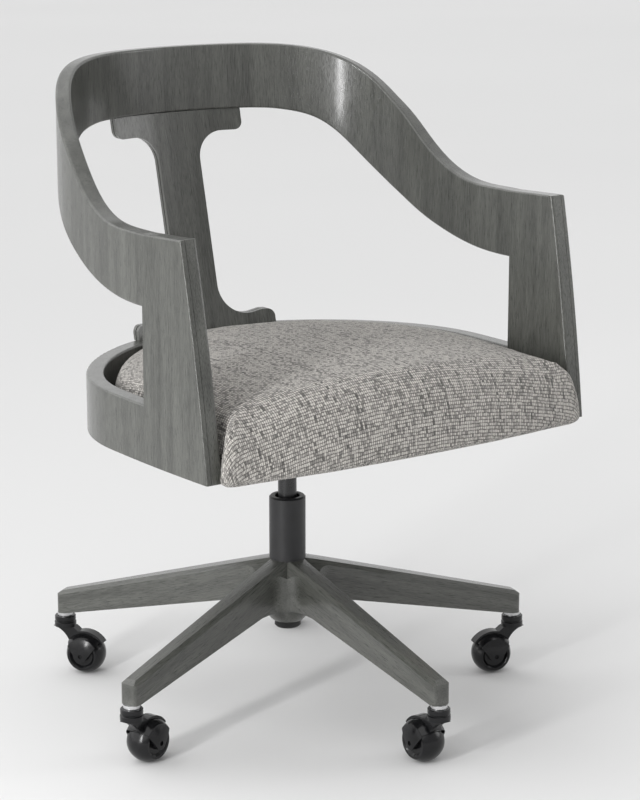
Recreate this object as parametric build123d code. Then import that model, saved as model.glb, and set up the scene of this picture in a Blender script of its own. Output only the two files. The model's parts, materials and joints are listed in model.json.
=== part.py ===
from build123d import *

# A swivel office chair: a bent-wood shell with a padded seat, on a tilting plate, a gas column and
# a five-legged wooden base with hooded ball casters. Millimetres, +Z up. The origin is on the floor
# under the column, and the sitter faces -Y.

import os
from math import asin, atan2, cos, degrees, radians, sin, sqrt, tan

# Base star
LEG_COUNT = 5
FIRST_LEG_ANGLE = 54.5
CASTER_CIRCLE = 315
LEG_TIP = 322
LEG_HALF_WIDTH_HUB = 16
LEG_HALF_WIDTH_TIP = 12
LEG_TIP_RADIUS = 5
LEG_TIP_BOTTOM = 82
LEG_TIP_TOP = 113
LEG_HUB_BOTTOM = 127
LEG_BEVEL = 5
HUB_TOP = 188
HUB_BOTTOM = 104
HUB_RADIUS = 28
HUB_WEB_RADIUS = 24
HUB_JOINT_RADIUS = 96

# Casters
WHEEL_RADIUS = 26.5
WHEEL_HALF_WIDTH = 16.8
CASTER_TRAIL = 29.5
HOOD_GAP = 0.8
COLLAR_RADIUS = 14.5
COLLAR_BOTTOM = 62
COLLAR_TOP = 77
CHEEK_OUTSIDE = 21.8
FENDER_HALF_WIDTH = 7
FENDER_RADIUS = 31.5
FENDER_END_ANGLE = 33
AXLE_RADIUS = 3
STEM_RADIUS = 5.5
STEM_PIN_RADIUS = 4

# Column
TUBE_RADIUS = 23.5
TUBE_BORE = 16
TUBE_TOP = 271
TUBE_SHOULDER = 178
TUBE_BOTTOM = 114
TUBE_FOOT_RADIUS = 20
TUBE_TAPER_RADIUS = 22
CAP_RADIUS = 17
CYLINDER_RADIUS = 12
CYLINDER_BOTTOM = 130
CYLINDER_TOP = 352
CYLINDER_BORE = 9
CYLINDER_HEAD = 330
VALVE_FLOOR = 336
VALVE_RADIUS = 4
ROD_RADIUS = 4
PISTON_BOTTOM = 292
RUNNING_FIT = 0.05

# Tilting plate under the seat
TILT_PIVOT_Y = -50
TILT_PIVOT_Z = 382
TILT_PIN_RADIUS = 6
HOUSING_HALF_WIDTH = 48
HOUSING_FLOOR = 332
STEEL = 3
LEVER_PIVOT_X = -32
LEVER_END_X = -200
LEVER_Z = 360
LEVER_RADIUS = 4

# Shell: the apron and the posts in plan
SHELL_THICKNESS = 22
SHELL_HALF_WIDTH = 286
SIDE_RADIUS = 2400
SIDE_WIDEST_Y = -110
APRON_PLAN = (213, 295, 222)
APRON_BOTTOM = 384
APRON_TOP = 454
POST_REAR_Y = -119
POST_SKIN = 6
FRONT_EDGE = ((-247, 384), (-227, 522), (-200, 660))
FRONT_ROUNDING = 2
EDGING_DEPTH = 6
EDGING_GAP = 0.5
EDGE_ROUNDING = 3

# Band: inner face of the arms and the crest in plan, and the rise of its two edges
BAND_SIDE_RADIUS = 1147
BAND_SHOULDER_RADIUS = 212
BAND_BACK_RADIUS = 283
BAND_BACK_Y = 262
BAND_THINNING = 5.8
BAND_SPANS = 16
BAND_CROWDING = 1.8
ARM_TOP = 656.5
ARM_BOTTOM = 571
CREST_TOP = 823
CREST_BOTTOM = 737
ARM_TOP_RISE = (-68, ARM_TOP, 165, 248, CREST_TOP, 42.5)
ARM_UNDER_RISE = (-100, ARM_BOTTOM, 341, 244, CREST_BOTTOM, 47.4)
CREST_JOINT_X = 140

# Splat
SPLAT_FOOT_Y = 196
SPLAT_HEAD_Y = 262.5
SPLAT_BOW_RADIUS = 400
SPLAT_JOINT = 0.1
SPLAT_GROOVE = 1.6
DOWEL_RADIUS = 3
DOWEL_LENGTH = 24
SPLAT_THICKNESS = 12
SPLAT_HEAD_HALF_WIDTH = 97.5
SPLAT_FOOT_HALF_WIDTH = 108
SPLAT_STEM_HALF_WIDTH = 31.5
SPLAT_SHOULDER = 709
SPLAT_ANKLE = 469
SPLAT_TOE_TOP = 472.5
SPLAT_TOE_LENGTH = 16

# Seat
BOARD_BOTTOM = 398
BOARD_TOP = 412
BOARD_FRONT_Y = -235
CLEAT_BOTTOM = 386
CLEAT_DEPTH = 26
CUSHION_FRONT_Y = -286
CUSHION_FRONT_RADIUS = 1800
CUSHION_CORNER_RADIUS = 46
CUSHION_CENTRE_Y = -80
CUSHION_BOTTOM = 386
CUSHION_TOP = 486
CUSHION_CROWN_RADIUS = 1350
CUSHION_DRAFT = 8
CUSHION_SHOULDER_RADIUS = 30
CUSHION_HEM_RADIUS = 9


def heading(origin, point):
    """Direction from one plan point to another, in degrees from +X."""
    step = point - origin
    return degrees(atan2(step.Y, step.X))


def touching_centre(first, first_radius, second, second_radius, radius, side):
    """Centre of the circle that touches two larger circles from inside, on one side of their line."""
    reach = first_radius - radius
    gap = second - first
    along = (reach**2 - (second_radius - radius) ** 2 + gap.length**2) / (2 * gap.length)
    across = side * sqrt(reach**2 - along**2)
    ahead = gap.normalized()
    return first + ahead * along + Vector(-ahead.Y, ahead.X) * across


def side_centre():
    """Centre of the long arc that each side of the shell follows."""
    return Vector(SHELL_HALF_WIDTH - SIDE_RADIUS, SIDE_WIDEST_Y)


def u_curve(plan, inset, start_angle):
    """The shell's U in plan: side arc, shoulder and back, all moved in by the inset."""
    back_y, back_radius, shoulder_radius = plan
    side = side_centre()
    back = Vector(0, back_y - back_radius)
    shoulder = touching_centre(side, SIDE_RADIUS, back, back_radius, shoulder_radius, 1)
    side_end = heading(side, shoulder)
    back_start = heading(back, shoulder)
    right = [
        CenterArc(side, SIDE_RADIUS - inset, start_angle, side_end - start_angle),
        CenterArc(shoulder, shoulder_radius - inset, side_end, back_start - side_end),
    ]
    middle = CenterArc(back, back_radius - inset, back_start, 180 - 2 * back_start)
    left = [mirror(edge, Plane.YZ) for edge in right]
    return [*right, middle, *left]


def side_angle(y, inset):
    """Where the side arc stands at this y, in degrees."""
    return degrees(asin((y - SIDE_WIDEST_Y) / (SIDE_RADIUS - inset)))


def wall(plan, front_y, bottom, top, outer_inset=0, inner_inset=SHELL_THICKNESS):
    """An upright U-shaped wall from the front line round the back."""
    outer = u_curve(plan, outer_inset, side_angle(front_y, outer_inset))
    inner = u_curve(plan, inner_inset, side_angle(front_y, inner_inset))
    start = outer[0] @ 0
    end = inner[0] @ 0
    closing = [Line(start, end), Line((-start.X, start.Y), (-end.X, end.Y))]
    return extrude(Plane.XY.offset(bottom) * make_face(outer + inner + closing), top - bottom)


def slab(plan, front_y, bottom, top, inset):
    """A flat board that fills the U."""
    edges = u_curve(plan, inset, side_angle(front_y, inset))
    start = edges[0] @ 0
    edges.append(Line(start, (-start.X, start.Y)))
    return extrude(Plane.XY.offset(bottom) * make_face(edges), top - bottom)


def side_prism(edges):
    """A side view (Y, Z) carried across the whole width."""
    return extrude(Plane.YZ * make_face(edges), 400, both=True)


def block(low, high):
    """A box between two corners."""
    size = [b - a for a, b in zip(low, high)]
    centre = [(a + b) / 2 for a, b in zip(low, high)]
    return Pos(*centre) * Box(*size)


def turned(points):
    """A body of revolution about Z from (radius, z) corners."""
    return revolve(Plane.XZ * make_face(Polyline(*points, close=True)), Axis.Z)


def ring(inner, outer, bottom, top):
    """A plain ring about Z."""
    return turned([(inner, bottom), (outer, bottom), (outer, top), (inner, top)])


def screw(x, y, head_z, shank_radius, length):
    """A screw that points up, with its head below the work."""
    head = Cylinder(2 * shank_radius, shank_radius, align=(Align.CENTER, Align.CENTER, Align.MAX))
    shank = Cylinder(shank_radius, length, align=(Align.CENTER, Align.CENTER, Align.MIN))
    return Pos(x, y, head_z) * (head + shank)


def rise(y, start_y, low_z, low_radius, end_y, high_z, slope):
    """Height of a level line that swings up to a slope and swings level again: arc, tangent, arc."""
    turn = radians(slope)
    foot_y = start_y + low_radius * sin(turn)
    foot_z = low_z + low_radius * (1 - cos(turn))
    spare = tan(turn) * (end_y - foot_y) - (high_z - foot_z)
    high_radius = spare / (tan(turn) * sin(turn) - (1 - cos(turn)))
    head_y = end_y - high_radius * sin(turn)
    if y < start_y:
        return low_z
    if y < foot_y:
        return low_z + low_radius - sqrt(low_radius**2 - (y - start_y) ** 2)
    if y < head_y:
        return foot_z + (y - foot_y) * tan(turn)
    if y < end_y:
        return high_z - high_radius + sqrt(high_radius**2 - (end_y - y) ** 2)
    return high_z


def band_spot(angle):
    """A plan point on the band's inner face, on the right, by the angle that the face turns to."""
    side = Vector(SHELL_HALF_WIDTH - SHELL_THICKNESS - BAND_SIDE_RADIUS, POST_REAR_Y)
    back = Vector(0, BAND_BACK_Y - BAND_BACK_RADIUS)
    shoulder = touching_centre(
        side, BAND_SIDE_RADIUS, back, BAND_BACK_RADIUS, BAND_SHOULDER_RADIUS, 1
    )
    outward = Vector(cos(radians(angle)), sin(radians(angle)))
    if angle < heading(side, shoulder):
        return side + outward * BAND_SIDE_RADIUS
    if angle < heading(back, shoulder):
        return shoulder + outward * BAND_SHOULDER_RADIUS
    return back + outward * BAND_BACK_RADIUS


def band_section(angle, side):
    """The band's cross-section, upright, square to its inner face and rounded at its edges."""
    spot = band_spot(angle)
    top = rise(spot.Y, *ARM_TOP_RISE)
    bottom = rise(spot.Y, *ARM_UNDER_RISE)
    thickness = SHELL_THICKNESS - BAND_THINNING * sin(radians(angle))
    outward = Vector(side * cos(radians(angle)), sin(radians(angle)))
    along = Vector(-outward.Y, outward.X)
    plane = Plane((side * spot.X, spot.Y, (top + bottom) / 2), x_dir=outward, z_dir=along)
    outline = RectangleRounded(thickness, top - bottom, EDGE_ROUNDING)
    return plane * Pos(thickness / 2, 0) * outline


def crest_band():
    """Arms and crest as one bent board; its sections crowd towards the arms, where it climbs."""
    angles = [90 * (i / BAND_SPANS) ** BAND_CROWDING for i in range(BAND_SPANS + 1)]
    right = [band_section(angle, 1) for angle in angles]
    left = [band_section(angle, -1) for angle in angles[:-1]]
    return loft([*right, *reversed(left)])


def leg_plan():
    """One beam from above, tapering to a rounded tip along +X."""
    corners = [
        (0, LEG_HALF_WIDTH_HUB),
        (LEG_TIP, LEG_HALF_WIDTH_TIP),
        (LEG_TIP, -LEG_HALF_WIDTH_TIP),
        (0, -LEG_HALF_WIDTH_HUB),
    ]
    plan = make_face(Polyline(*corners, close=True))
    return fillet(plan.vertices().sort_by(Axis.X)[-2:], LEG_TIP_RADIUS)


def leg_bevel(side):
    """What the sloping bevel takes off one upper edge of the beam along +X, as far as the web."""
    taper = (LEG_HALF_WIDTH_HUB - LEG_HALF_WIDTH_TIP) / LEG_TIP
    fall = (HUB_TOP - LEG_TIP_TOP) / (CASTER_CIRCLE - TUBE_RADIUS)
    edge = Vector(0, side * (LEG_HALF_WIDTH_HUB - LEG_BEVEL), HUB_TOP + TUBE_RADIUS * fall)
    along = Vector(1, -side * taper, -fall)
    outward = Vector(0, side, -1)
    across = along.cross(outward) * side
    plane = Plane(edge, x_dir=along, z_dir=across)
    above = plane * Pos(0, 0, 30) * Box(900, 300, 60)
    web_line = Vector(400 * cos(radians(180 / LEG_COUNT)), side * 400 * sin(radians(180 / LEG_COUNT)))
    sector = make_face(Polyline((0, 0), (400, 0), (web_line.X, web_line.Y), close=True))
    return above & extrude(sector, 300)


def base_star():
    """The wooden base before it is cut: five tapered beams that run together in rounded webs."""
    plan = Sketch() + [Rot(Z=360 / LEG_COUNT * i) * leg_plan() for i in range(LEG_COUNT)]
    inner_corners = plan.vertices().sort_by(lambda v: Vector(v.X, v.Y).length)[:LEG_COUNT]
    beams = extrude(fillet(inner_corners, HUB_WEB_RADIUS), 300)
    knee = 75
    heel = CASTER_CIRCLE - 3
    nose = LEG_TIP + 5
    chin = LEG_TIP_TOP - 8
    profile = [
        (0, LEG_HUB_BOTTOM),
        (knee, LEG_HUB_BOTTOM),
        (heel, LEG_TIP_BOTTOM),
        (nose, LEG_TIP_BOTTOM),
        (nose, chin),
        (CASTER_CIRCLE, LEG_TIP_TOP),
        (TUBE_RADIUS, HUB_TOP),
        (0, HUB_TOP),
    ]
    star = beams & turned(profile)
    for i in range(LEG_COUNT):
        star -= Rot(Z=360 / LEG_COUNT * i) * leg_bevel(1)
        star -= Rot(Z=360 / LEG_COUNT * i) * leg_bevel(-1)
    return star


def outer_tube():
    """The column's black tube, with a tapered foot that wedges into the hub."""
    return turned(
        [
            (ROD_RADIUS + RUNNING_FIT, TUBE_BOTTOM),
            (TUBE_FOOT_RADIUS, TUBE_BOTTOM),
            (TUBE_TAPER_RADIUS, TUBE_SHOULDER),
            (TUBE_RADIUS, TUBE_SHOULDER),
            (TUBE_RADIUS, TUBE_TOP - 2),
            (TUBE_RADIUS - 2, TUBE_TOP),
            (TUBE_BORE + 1, TUBE_TOP),
            (TUBE_BORE, TUBE_TOP - 1),
            (TUBE_BORE, TUBE_BOTTOM + 8),
            (ROD_RADIUS + RUNNING_FIT, TUBE_BOTTOM + 8),
        ]
    )


def base_pieces():
    """Hub, legs, stems and the fixed pieces of the column."""
    tube = outer_tube()
    tube_space = [
        (0, HUB_BOTTOM - 1),
        (CAP_RADIUS, HUB_BOTTOM - 1),
        (CAP_RADIUS, TUBE_BOTTOM),
        (TUBE_FOOT_RADIUS, TUBE_BOTTOM),
        (TUBE_TAPER_RADIUS, TUBE_SHOULDER),
        (TUBE_RADIUS, TUBE_SHOULDER),
        (TUBE_RADIUS, HUB_TOP + 1),
        (0, HUB_TOP + 1),
    ]
    boss_top = LEG_HUB_BOTTOM + 10
    lip = Vector(CAP_RADIUS + 2, HUB_BOTTOM)
    bulge = Vector(HUB_RADIUS - 2.5, HUB_BOTTOM + 7)
    flank = Vector(HUB_RADIUS, HUB_BOTTOM + 18)
    boss = [
        Line((0, HUB_BOTTOM), lip),
        ThreePointArc(lip, bulge, flank),
        Line(flank, (HUB_RADIUS, boss_top)),
        Line((HUB_RADIUS, boss_top), (0, boss_top)),
        Line((0, boss_top), (0, HUB_BOTTOM)),
    ]
    star = base_star()
    leg_space = block((HUB_JOINT_RADIUS, -70, 0), (LEG_TIP + 10, 70, 300))
    hub = star + revolve(Plane.XZ * make_face(boss), Axis.Z) - turned(tube_space)
    pieces = {}
    stems = []
    for i in range(LEG_COUNT):
        turn = Rot(Z=FIRST_LEG_ANGLE + 360 / LEG_COUNT * i)
        stem = Pos(CASTER_CIRCLE, 0, 0) * caster_stem()
        pieces[f"leg_{i + 1}"] = turn * ((star & leg_space) - stem)
        stems.append(turn * stem)
        hub -= Rot(Z=360 / LEG_COUNT * i) * leg_space
    pieces["base_hub"] = Rot(Z=FIRST_LEG_ANGLE) * hub
    pieces["caster_stems"] = Compound(stems)
    pieces["outer_tube"] = tube
    pieces["guide_bushing"] = ring(CYLINDER_RADIUS + RUNNING_FIT, TUBE_BORE, TUBE_TOP - 71, TUBE_TOP - 12)
    cap_bottom = HUB_BOTTOM - 9
    pieces["column_cap"] = turned(
        [
            (0, cap_bottom),
            (CAP_RADIUS - 2, cap_bottom),
            (CAP_RADIUS, cap_bottom + 2),
            (CAP_RADIUS, TUBE_BOTTOM),
            (12, TUBE_BOTTOM),
            (12, cap_bottom + 4),
            (0, cap_bottom + 4),
        ]
    )
    return pieces


def caster_stem():
    """A steel pin with a shoulder; its lower end carries the caster and its upper end is in the leg."""
    return turned(
        [
            (0, COLLAR_BOTTOM - 4),
            (STEM_PIN_RADIUS, COLLAR_BOTTOM - 4),
            (STEM_PIN_RADIUS, COLLAR_TOP + 0.3),
            (10.5, COLLAR_TOP + 0.3),
            (10.5, LEG_TIP_BOTTOM),
            (STEM_RADIUS, LEG_TIP_BOTTOM),
            (STEM_RADIUS, LEG_TIP_BOTTOM + 24),
            (0, LEG_TIP_BOTTOM + 24),
        ]
    )


def about_axle(points):
    """A body of revolution about the axle from (radius, y) corners and arcs."""
    spun = revolve(Plane.XZ * make_face(points), Axis.Z)
    return Pos(CASTER_TRAIL, 0, WHEEL_RADIUS) * Rot(X=-90) * spun


def tread(radius_gain, half_width):
    """The ball-shaped tread from one edge to the other, as an arc in (radius, y)."""
    crown = WHEEL_RADIUS + radius_gain
    edge = sqrt(crown**2 - half_width**2)
    return ThreePointArc((edge, -half_width), (crown, 0), (edge, half_width))


def caster_wheel():
    """A barrel wheel with dished sides, bored for its axle."""
    crown = tread(0, WHEEL_HALF_WIDTH)
    bore = AXLE_RADIUS + RUNNING_FIT
    side = WHEEL_HALF_WIDTH
    rim = sqrt(WHEEL_RADIUS**2 - WHEEL_HALF_WIDTH**2)
    flank = [(rim, side), (rim - 3, side), (rim - 6, side - 3), (9, side - 3), (9, side), (bore, side)]
    upper = Polyline(*flank)
    lower = mirror(upper, Plane.XZ)
    return about_axle([crown, upper, lower, Line((bore, side), (bore, -side))])


def round_the_wheel(radius, angle):
    """A point at this angle above the axle, in the caster's side view."""
    return Vector(
        CASTER_TRAIL + radius * cos(radians(angle)), WHEEL_RADIUS + radius * sin(radians(angle))
    )


def caster_hood():
    """Collar, horn, raised fender and two domed cheeks, moulded in one piece."""
    inside = WHEEL_RADIUS + HOOD_GAP
    nose_angle = 143
    shoulder_angle = 106
    axle = Vector(CASTER_TRAIL, WHEEL_RADIUS)
    horn_tip = round_the_wheel(inside, nose_angle)
    shoulder = round_the_wheel(FENDER_RADIUS, shoulder_angle)
    fender_tip = round_the_wheel(inside, FENDER_END_ANGLE)
    fender_back = round_the_wheel(FENDER_RADIUS, FENDER_END_ANGLE)
    collar_front = Vector(-COLLAR_RADIUS, COLLAR_BOTTOM)
    collar_back = Vector(COLLAR_RADIUS, COLLAR_BOTTOM)
    side_view = [
        ThreePointArc(collar_front, (-1.5, 55.5), horn_tip),
        CenterArc(axle, inside, nose_angle, FENDER_END_ANGLE - nose_angle),
        Line(fender_tip, fender_back),
        CenterArc(axle, FENDER_RADIUS, FENDER_END_ANGLE, shoulder_angle - FENDER_END_ANGLE),
        Line(shoulder, collar_back),
        Line(collar_back, collar_front),
    ]
    hood = extrude(Plane.XZ * make_face(side_view), FENDER_HALF_WIDTH, both=True)
    hood += turned(
        [
            (0, COLLAR_BOTTOM),
            (COLLAR_RADIUS, COLLAR_BOTTOM),
            (COLLAR_RADIUS, COLLAR_BOTTOM + 6),
            (COLLAR_RADIUS - 1.5, COLLAR_BOTTOM + 7),
            (COLLAR_RADIUS - 1.5, COLLAR_BOTTOM + 8),
            (COLLAR_RADIUS - 0.5, COLLAR_BOTTOM + 9),
            (COLLAR_RADIUS - 0.5, COLLAR_TOP - 1),
            (COLLAR_RADIUS - 1.5, COLLAR_TOP),
            (0, COLLAR_TOP),
        ]
    )
    hood += hood_cover(inside)
    for side in (1, -1):
        hood += hood_cheek(side)
    pin_space = Pos(0, 0, COLLAR_BOTTOM - 4.3) * Cylinder(
        STEM_PIN_RADIUS + RUNNING_FIT, 40, align=(Align.CENTER, Align.CENTER, Align.MIN)
    )
    return hood - pin_space - axle_pin(30)


def hood_cover(inside):
    """The thin crowned shell over the wheel between the cheeks."""
    half = WHEEL_HALF_WIDTH + 1.2
    inner = tread(HOOD_GAP, half)
    outer = tread(HOOD_GAP + 2, half)
    ends = [Line(inner @ 0, outer @ 0), Line(inner @ 1, outer @ 1)]
    ring = about_axle([inner, outer, *ends])
    reach = inside + 20
    corners = [(CASTER_TRAIL, WHEEL_RADIUS)]
    for angle in (FENDER_END_ANGLE + 5, 90, 143):
        corner = round_the_wheel(reach, angle)
        corners.append((corner.X, corner.Y))
    return ring & extrude(Plane.XZ * make_face(Polyline(*corners, close=True)), 40, both=True)


def hood_cheek(side):
    """One domed cheek that narrows from the cover down to the axle."""
    boss = 8.5
    rim = WHEEL_RADIUS - 3.1
    axle = Vector(CASTER_TRAIL, WHEEL_RADIUS)
    high_front = round_the_wheel(rim, 148)
    high_back = round_the_wheel(rim, FENDER_END_ANGLE)
    low_front = round_the_wheel(boss, 200)
    low_back = round_the_wheel(boss, -20)
    outline = [
        CenterArc(axle, rim, FENDER_END_ANGLE, 148 - FENDER_END_ANGLE),
        Line(high_front, low_front),
        CenterArc(axle, boss, 200, 140),
        Line(low_back, high_back),
    ]
    inner = WHEEL_HALF_WIDTH + 0.6
    plate = extrude(Plane.XZ * make_face(outline), 30, both=True)
    plate &= block((-60, inner, -60), (120, 40, 120))
    dome_radius = 75
    plate &= Pos(CASTER_TRAIL, CHEEK_OUTSIDE - dome_radius, WHEEL_RADIUS) * Sphere(dome_radius)
    return plate if side > 0 else mirror(plate, Plane.XZ)


def axle_pin(half_length):
    """The wheel's steel pin along Y."""
    return Pos(CASTER_TRAIL, 0, WHEEL_RADIUS) * Rot(X=90) * Cylinder(AXLE_RADIUS, 2 * half_length)


def caster_pieces():
    """Hood, wheel and axle of each caster, trailing towards the hub."""
    hood = caster_hood()
    wheel = caster_wheel()
    axle = axle_pin(CHEEK_OUTSIDE - 2)
    pieces = {}
    for i in range(LEG_COUNT):
        place = Rot(Z=FIRST_LEG_ANGLE + 360 / LEG_COUNT * i) * Pos(CASTER_CIRCLE, 0, 0) * Rot(Z=180)
        pieces[f"caster_hood_{i + 1}"] = place * hood
        pieces[f"caster_wheel_{i + 1}"] = place * wheel
        pieces[f"caster_axle_{i + 1}"] = place * axle
    return pieces


def column_pieces():
    """The gas spring's rod and piston, its bearing and clip, its cylinder and its release pin."""
    pieces = {}
    rod_end = TUBE_BOTTOM - 7
    neck = 2 * VALVE_RADIUS
    piston_radius = CYLINDER_BORE - RUNNING_FIT
    pieces["piston_rod"] = turned(
        [
            (0, rod_end),
            (ROD_RADIUS, rod_end),
            (ROD_RADIUS, PISTON_BOTTOM),
            (piston_radius, PISTON_BOTTOM),
            (piston_radius, PISTON_BOTTOM + 12),
            (0, PISTON_BOTTOM + 12),
        ]
    )
    pieces["thrust_bearing"] = ring(ROD_RADIUS, 13, TUBE_BOTTOM + 8, CYLINDER_BOTTOM - 0.3)
    pieces["rod_clip"] = ring(ROD_RADIUS, 9, TUBE_BOTTOM - 2.8, TUBE_BOTTOM - 0.3)
    pieces["gas_cylinder"] = turned(
        [
            (ROD_RADIUS + RUNNING_FIT, CYLINDER_BOTTOM),
            (CYLINDER_RADIUS - 1, CYLINDER_BOTTOM),
            (CYLINDER_RADIUS, CYLINDER_BOTTOM + 1),
            (CYLINDER_RADIUS, CYLINDER_TOP - 6),
            (neck, CYLINDER_TOP - 6),
            (neck, CYLINDER_TOP),
            (VALVE_RADIUS + RUNNING_FIT, CYLINDER_TOP),
            (VALVE_RADIUS + RUNNING_FIT, VALVE_FLOOR),
            (0, VALVE_FLOOR),
            (0, CYLINDER_HEAD),
            (CYLINDER_BORE, CYLINDER_HEAD),
            (CYLINDER_BORE, CYLINDER_BOTTOM + 14),
            (ROD_RADIUS + RUNNING_FIT, CYLINDER_BOTTOM + 14),
        ]
    )
    pin_top = LEVER_Z - LEVER_RADIUS - 0.5
    pin_bottom = VALVE_FLOOR + 6
    pieces["release_pin"] = turned(
        [
            (0, pin_bottom),
            (VALVE_RADIUS, pin_bottom),
            (VALVE_RADIUS, pin_top - 1),
            (VALVE_RADIUS - 1, pin_top),
            (0, pin_top),
        ]
    )
    return pieces


def along_x(radius, start, end, y, z):
    """A round bar along X."""
    return Pos((start + end) / 2, y, z) * Rot(Y=90) * Cylinder(radius, end - start)


def tilt_housing():
    """The pressed steel tray that grips the column and carries the tilt pin and the lever."""
    front = -75
    rear = 70
    plate_bottom = BOARD_BOTTOM - STEEL
    edge = [
        (front, HOUSING_FLOOR),
        (front, plate_bottom),
        (front + 7, plate_bottom),
        (-55, 391),
        (rear, 369),
        (rear, HOUSING_FLOOR + 14),
        (rear - 16, HOUSING_FLOOR),
    ]
    body = extrude(Plane.YZ * make_face(Polyline(*edge, close=True)), HOUSING_HALF_WIDTH, both=True)
    inside = HOUSING_HALF_WIDTH - STEEL
    body -= block((-inside, front + STEEL, HOUSING_FLOOR + STEEL), (inside, rear - 20, 420))
    body -= block((-inside, rear - 21, HOUSING_FLOOR + 16), (inside, rear - STEEL, 420))
    socket = Pos(0, 0, HOUSING_FLOOR + 7)
    body += socket * Cylinder(CYLINDER_RADIUS + 6, 26)
    for y in (-11, 8):
        lug_front = (LEVER_PIVOT_X - 8, y, HOUSING_FLOOR)
        body += block(lug_front, (LEVER_PIVOT_X + 8, y + STEEL, LEVER_Z + 8))
    body -= block((-HOUSING_HALF_WIDTH - 1, -8, LEVER_Z - 14), (1 - inside, 8, 420))
    body -= socket * Cylinder(CYLINDER_RADIUS, 60)
    trunnion = STEEL + RUNNING_FIT
    body -= Pos(LEVER_PIVOT_X, 0, LEVER_Z) * Rot(X=90) * Cylinder(trunnion, 40)
    return body - along_x(TILT_PIN_RADIUS + RUNNING_FIT, -80, 80, TILT_PIVOT_Y, TILT_PIVOT_Z)


def seat_plate():
    """The steel plate under the seat board, with two ears that hang on the tilt pin."""
    plate = block((-100, -100, BOARD_BOTTOM - STEEL), (100, 90, BOARD_BOTTOM))
    plate = fillet(plate.edges().filter_by(Axis.Z), 12)
    for side in (1, -1):
        inner = side * (HOUSING_HALF_WIDTH + 0.5)
        ear = [
            (TILT_PIVOT_Y - 26, BOARD_BOTTOM - STEEL),
            (TILT_PIVOT_Y - 12, TILT_PIVOT_Z - 14),
            (TILT_PIVOT_Y + 12, TILT_PIVOT_Z - 14),
            (TILT_PIVOT_Y + 26, BOARD_BOTTOM - STEEL),
        ]
        face = Plane.YZ.offset(inner) * make_face(Polyline(*ear, close=True))
        plate += extrude(face, side * STEEL)
    return plate - along_x(TILT_PIN_RADIUS, -80, 80, TILT_PIVOT_Y, TILT_PIVOT_Z)


def height_lever():
    """The rod that lifts at its handle and presses the release pin with its other end."""
    rod = along_x(LEVER_RADIUS, LEVER_END_X, 6, 0, LEVER_Z)
    rod += along_x(LEVER_RADIUS + 3, LEVER_PIVOT_X - 6, LEVER_PIVOT_X + 6, 0, LEVER_Z)
    return rod + Pos(LEVER_PIVOT_X, 0, LEVER_Z) * Rot(X=90) * Cylinder(STEEL, 22)


def lever_grip():
    """The plastic sleeve on the lever's end."""
    grip = along_x(7, LEVER_END_X - 6, LEVER_END_X + 64, 0, LEVER_Z)
    grip = fillet(grip.edges(), 2.5)
    return grip - along_x(LEVER_RADIUS, LEVER_END_X, LEVER_END_X + 80, 0, LEVER_Z)


def tilt_pieces():
    """The tilting plate's pieces: the tray, the lever, the plate, its pin and rubber springs."""
    pieces = {}
    pieces["tilt_housing"] = tilt_housing()
    pieces["height_lever"] = height_lever()
    pieces["lever_grip"] = lever_grip()
    ends = HOUSING_HALF_WIDTH + 0.5 + STEEL + 3
    pieces["tilt_pin"] = along_x(TILT_PIN_RADIUS, -ends, ends, TILT_PIVOT_Y, TILT_PIVOT_Z)
    sleeves = []
    for start in (-42, 3):
        sleeve = along_x(11, start, start + 39, TILT_PIVOT_Y, TILT_PIVOT_Z)
        sleeves.append(sleeve - pieces["tilt_pin"])
    pieces["torsion_sleeves"] = Compound(sleeves)
    bolts = [screw(x, y, BOARD_BOTTOM - STEEL, 3, 13) for x in (-82, 82) for y in (-82, 72)]
    pieces["plate_bolts"] = Compound(bolts)
    pieces["seat_plate"] = seat_plate() - bolts
    return pieces


def rounded_along(body, low, high, radius):
    """The body with its long edges inside a box rounded."""
    space = block(low, high)
    chosen = [edge for edge in body.edges() if edge.length > 40 and space.is_inside(edge @ 0.5)]
    return fillet(chosen, radius)


def post_and_edging():
    """The right front post, whose outer skin runs on to the front, and the edging beside the skin."""
    front = ThreePointArc(*FRONT_EDGE)
    seam = Pos(EDGING_DEPTH, 0) * front
    seam_foot = seam @ 0
    seam_head = seam @ 1
    top = FRONT_EDGE[2][1]
    post_view = [
        seam,
        Line(seam_head, (POST_REAR_Y, ARM_TOP)),
        Line((POST_REAR_Y, ARM_TOP), (POST_REAR_Y, APRON_BOTTOM)),
        Line((POST_REAR_Y, APRON_BOTTOM), seam_foot),
    ]
    edging_view = [front, seam, Line(front @ 0, seam_foot), Line(front @ 1, seam_head)]
    front_line = FRONT_EDGE[0][0] - 10
    right_side = block((0, -400, 0), (400, 400, 900))
    whole = wall(APRON_PLAN, front_line, APRON_BOTTOM, top) & right_side
    skin = wall(APRON_PLAN, front_line, APRON_BOTTOM, top, 0, POST_SKIN) & right_side
    inner = wall(APRON_PLAN, front_line, APRON_BOTTOM, top, POST_SKIN + EDGING_GAP) & right_side
    post = (whole & side_prism(post_view)) + (skin & side_prism(edging_view))
    edging = inner & side_prism(edging_view)
    inner_face_x = SHELL_HALF_WIDTH - SHELL_THICKNESS
    post = rounded_along(post, (0, -400, ARM_TOP - 1), (400, 0, top + 1), EDGE_ROUNDING)
    skin_x = SHELL_HALF_WIDTH - POST_SKIN
    post = rounded_along(post, (skin_x, -400, 450), (400, -200, 600), FRONT_ROUNDING)
    front_y = FRONT_EDGE[1][0] + EDGING_DEPTH / 2
    edging = rounded_along(edging, (0, -400, 450), (inner_face_x, front_y, 600), EDGE_ROUNDING)
    return post, edging


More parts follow.
